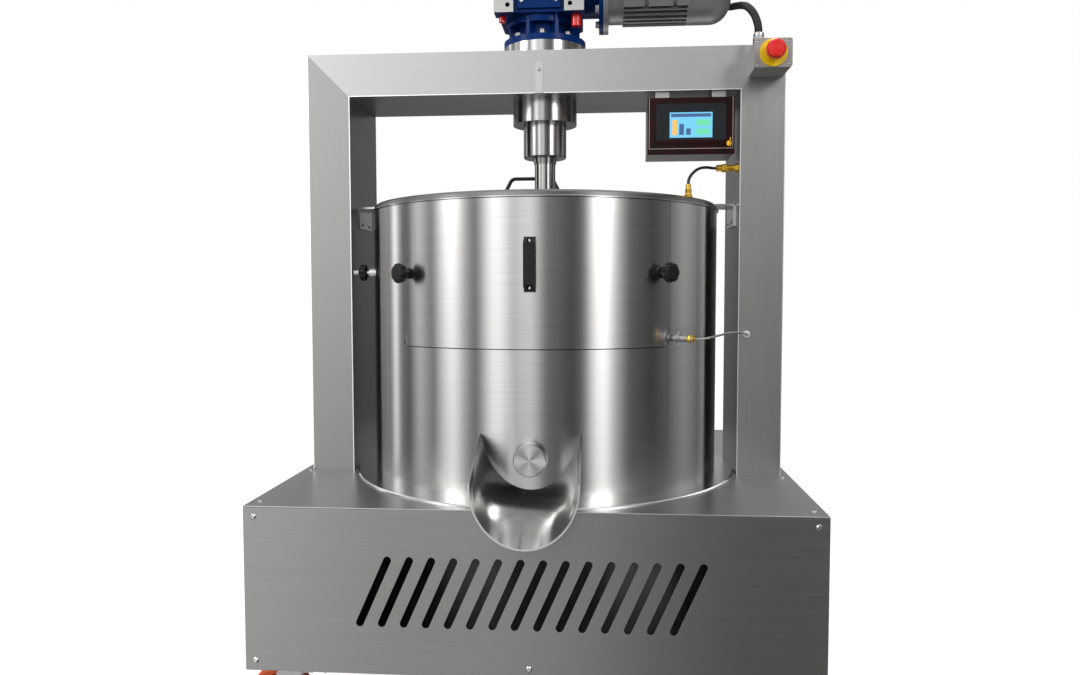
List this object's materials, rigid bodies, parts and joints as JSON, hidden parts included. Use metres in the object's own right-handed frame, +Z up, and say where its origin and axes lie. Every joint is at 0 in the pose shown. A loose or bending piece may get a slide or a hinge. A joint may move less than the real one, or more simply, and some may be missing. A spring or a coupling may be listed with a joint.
{
  "type": "cocoa stone grinder",
  "caption": "Cocoa stone grinder on a box base: a portal gearmotor turns granite rollers in a round jacketed drum with a hatch and a discharge chute.",
  "frame": {"origin": "on the floor, under the vertical shaft's axis", "axes": "+X to the motor's side, -Y to the front with the hatch and the chute, +Z up"},
  "size_m": [1.1475, 1.066, 1.733],
  "materials": {
    "brushed_stainless": "brushed, fine grain along the sheet",
    "polished_stainless": "polished",
    "turned_steel": "turned, fine rings",
    "zinc_steel": "zinc plated, satin",
    "granite": "honed",
    "blue_paint": "smooth semi-gloss paint",
    "motor_paint": "smooth semi-gloss paint",
    "black_plastic": "fine texture",
    "black_paint": "powder coat",
    "red_plastic": "gloss",
    "grey_plastic": "fine texture",
    "white_plastic": "smooth",
    "panel_gloss": "gloss",
    "brass": "machined",
    "braided_steel": "braided",
    "conduit_black": "ribbed",
    "hose_black": "smooth",
    "polyurethane": "satin"
  },
  "bodies": {
    "stand": {"base_frame": "zinc_steel", "base_shell": "brushed_stainless", "base_front_panel": "brushed_stainless", "base_top_plate": "brushed_stainless", "panel_screws": "polished_stainless", "plinth_ring": "brushed_stainless", "portal_frame": "brushed_stainless", "beam_strap": "brushed_stainless", "drum_shell": "brushed_stainless", "drum_bowl": "brushed_stainless", "granite_bed": "granite", "lid_front": "brushed_stainless", "lid_hinge_pin": "turned_steel", "drum_brackets": "brushed_stainless", "chute": "polished_stainless", "discharge_port": "turned_steel", "probe_body": "turned_steel", "probe_lead": "braided_steel", "lead_grommet": "white_plastic", "hose_bulkhead": "brass", "lid_hose": "hose_black", "lid_fitting": "brass", "gearbox": "blue_paint", "gearbox_plugs": "red_plastic", "gearbox_spacer": "turned_steel", "bearing_housing": "turned_steel", "motor_body": "motor_paint", "fan_cowl": "motor_paint", "terminal_box": "motor_paint", "motor_conduit": "conduit_black", "stop_box": "grey_plastic", "panel_box": "brushed_stainless", "panel_screen": "panel_gloss", "swivel_plates": "zinc_steel", "fixed_castors": "zinc_steel"},
    "lid": {"lid_rear": "brushed_stainless", "lid_handle": "black_paint"},
    "hatch": {"front_hatch": "brushed_stainless", "hatch_handle": "black_plastic"},
    "knob_left": {"hatch_knob_left": "black_plastic"},
    "knob_right": {"hatch_knob_right": "black_plastic"},
    "plug": {"discharge_plug": "turned_steel"},
    "clamp_screw": {"clamp_spindle": "turned_steel"},
    "clamp_grip": {"clamp_knob": "black_plastic"},
    "wing_nut": {"probe_wing_nut": "zinc_steel"},
    "drive": {"drive_shaft": "turned_steel", "roller_carrier": "brushed_stainless"},
    "roller_l": {"roller_left": "granite"},
    "roller_r": {"roller_right": "granite"},
    "fan": {"motor_fan": "black_plastic"},
    "stop": {"stop_button": "red_plastic"},
    "key": {"key_switch": "brass"},
    "swivel_front": {"castor_fork_front": "zinc_steel"},
    "swivel_rear": {"castor_fork_rear": "zinc_steel"},
    "pedal_front": {"brake_pedal_front": "zinc_steel"},
    "pedal_rear": {"brake_pedal_rear": "zinc_steel"},
    "wheel_front_left": {"castor_wheel_front_left": "polyurethane"},
    "wheel_rear_left": {"castor_wheel_rear_left": "polyurethane"},
    "wheel_front_right": {"castor_wheel_front_right": "polyurethane"},
    "wheel_rear_right": {"castor_wheel_rear_right": "polyurethane"}
  },
  "joints": [
    {"name": "drive_spin", "type": "hinge", "parent": "stand", "child": "drive", "pos_m": [0, 0, 1], "axis": [0, 0, 1], "continuous": true},
    {"name": "roller_left_spin", "type": "hinge", "parent": "drive", "child": "roller_l", "pos_m": [-0.2, 0, 0.7133], "axis": [1, 0, 0], "continuous": true},
    {"name": "roller_right_spin", "type": "hinge", "parent": "drive", "child": "roller_r", "pos_m": [0.2, 0, 0.7133], "axis": [1, 0, 0], "continuous": true},
    {"name": "fan_spin", "type": "hinge", "parent": "stand", "child": "fan", "pos_m": [0.35, 0, 1.592], "axis": [1, 0, 0], "continuous": true},
    {"name": "lid_open", "type": "hinge", "parent": "stand", "child": "lid", "pos_m": [0, 0.414, 1.083], "axis": [-1, 0, 0], "range_deg": [0, 95]},
    {"name": "hatch_pull", "type": "slide", "parent": "stand", "child": "hatch", "axis": [0, -1, 0], "range_m": [0, 0.14]},
    {"name": "hatch_knob_left_turn", "type": "hinge", "parent": "hatch", "child": "knob_left", "pos_m": [-0.25802, -0.31863, 0.932], "axis": [-0.6293, -0.7771, 0], "range_deg": [-90, 0]},
    {"name": "hatch_knob_right_turn", "type": "hinge", "parent": "hatch", "child": "knob_right", "pos_m": [0.25802, -0.31863, 0.932], "axis": [0.6293, -0.7771, 0], "range_deg": [-90, 0]},
    {"name": "plug_pull", "type": "slide", "parent": "stand", "child": "plug", "axis": [0, -1, 0], "range_m": [0, 0.08]},
    {"name": "clamp_turn", "type": "hinge", "parent": "clamp_screw", "child": "clamp_grip", "pos_m": [-0.41, -0.093, 0.939], "axis": [1, 0, 0], "range_deg": [0, 960]},
    {"name": "clamp_feed", "type": "slide", "parent": "stand", "child": "clamp_screw", "axis": [-1, 0, 0], "range_m": [0, 0.004]},
    {"name": "wing_nut_turn", "type": "hinge", "parent": "stand", "child": "wing_nut", "pos_m": [0.29017, -0.30365, 0.801], "axis": [0.6909, -0.723, 0], "range_deg": [0, 360]},
    {"name": "stop_press", "type": "slide", "parent": "stand", "child": "stop", "axis": [0, 1, 0], "range_m": [0, 0.005], "stiffness_N_per_m": 800},
    {"name": "key_turn", "type": "hinge", "parent": "stand", "child": "key", "pos_m": [0.4128, -0.116, 1.219], "axis": [0, -1, 0], "range_deg": [-90, 0]},
    {"name": "swivel_front_turn", "type": "hinge", "parent": "stand", "child": "swivel_front", "pos_m": [-0.49, -0.346, 0.14], "axis": [0, 0, 1], "continuous": true},
    {"name": "swivel_rear_turn", "type": "hinge", "parent": "stand", "child": "swivel_rear", "pos_m": [-0.49, 0.43, 0.14], "axis": [0, 0, 1], "continuous": true},
    {"name": "pedal_front_press", "type": "hinge", "parent": "swivel_front", "child": "pedal_front", "pos_m": [-0.458, -0.346, 0.1282], "axis": [0, -1, 0], "range_deg": [0, 15]},
    {"name": "pedal_rear_press", "type": "hinge", "parent": "swivel_rear", "child": "pedal_rear", "pos_m": [-0.458, 0.43, 0.1282], "axis": [0, -1, 0], "range_deg": [0, 15]},
    {"name": "wheel_front_left_roll", "type": "hinge", "parent": "swivel_front", "child": "wheel_front_left", "pos_m": [-0.524, -0.346, 0.0625], "axis": [0, 1, 0], "continuous": true},
    {"name": "wheel_rear_left_roll", "type": "hinge", "parent": "swivel_rear", "child": "wheel_rear_left", "pos_m": [-0.524, 0.43, 0.0625], "axis": [0, 1, 0], "continuous": true},
    {"name": "wheel_front_right_roll", "type": "hinge", "parent": "stand", "child": "wheel_front_right", "pos_m": [0.49, -0.346, 0.0625], "axis": [0, 1, 0], "continuous": true},
    {"name": "wheel_rear_right_roll", "type": "hinge", "parent": "stand", "child": "wheel_rear_right", "pos_m": [0.49, 0.43, 0.0625], "axis": [0, 1, 0], "continuous": true}
  ],
  "couplings": [
    {"joint": "roller_left_spin", "follows": "drive_spin", "ratio": 1.2121},
    {"joint": "roller_right_spin", "follows": "drive_spin", "ratio": -1.2121},
    {"joint": "fan_spin", "follows": "drive_spin", "ratio": 36},
    {"joint": "clamp_turn", "follows": "clamp_feed", "rad_per_m": 4188.8}
  ]
}
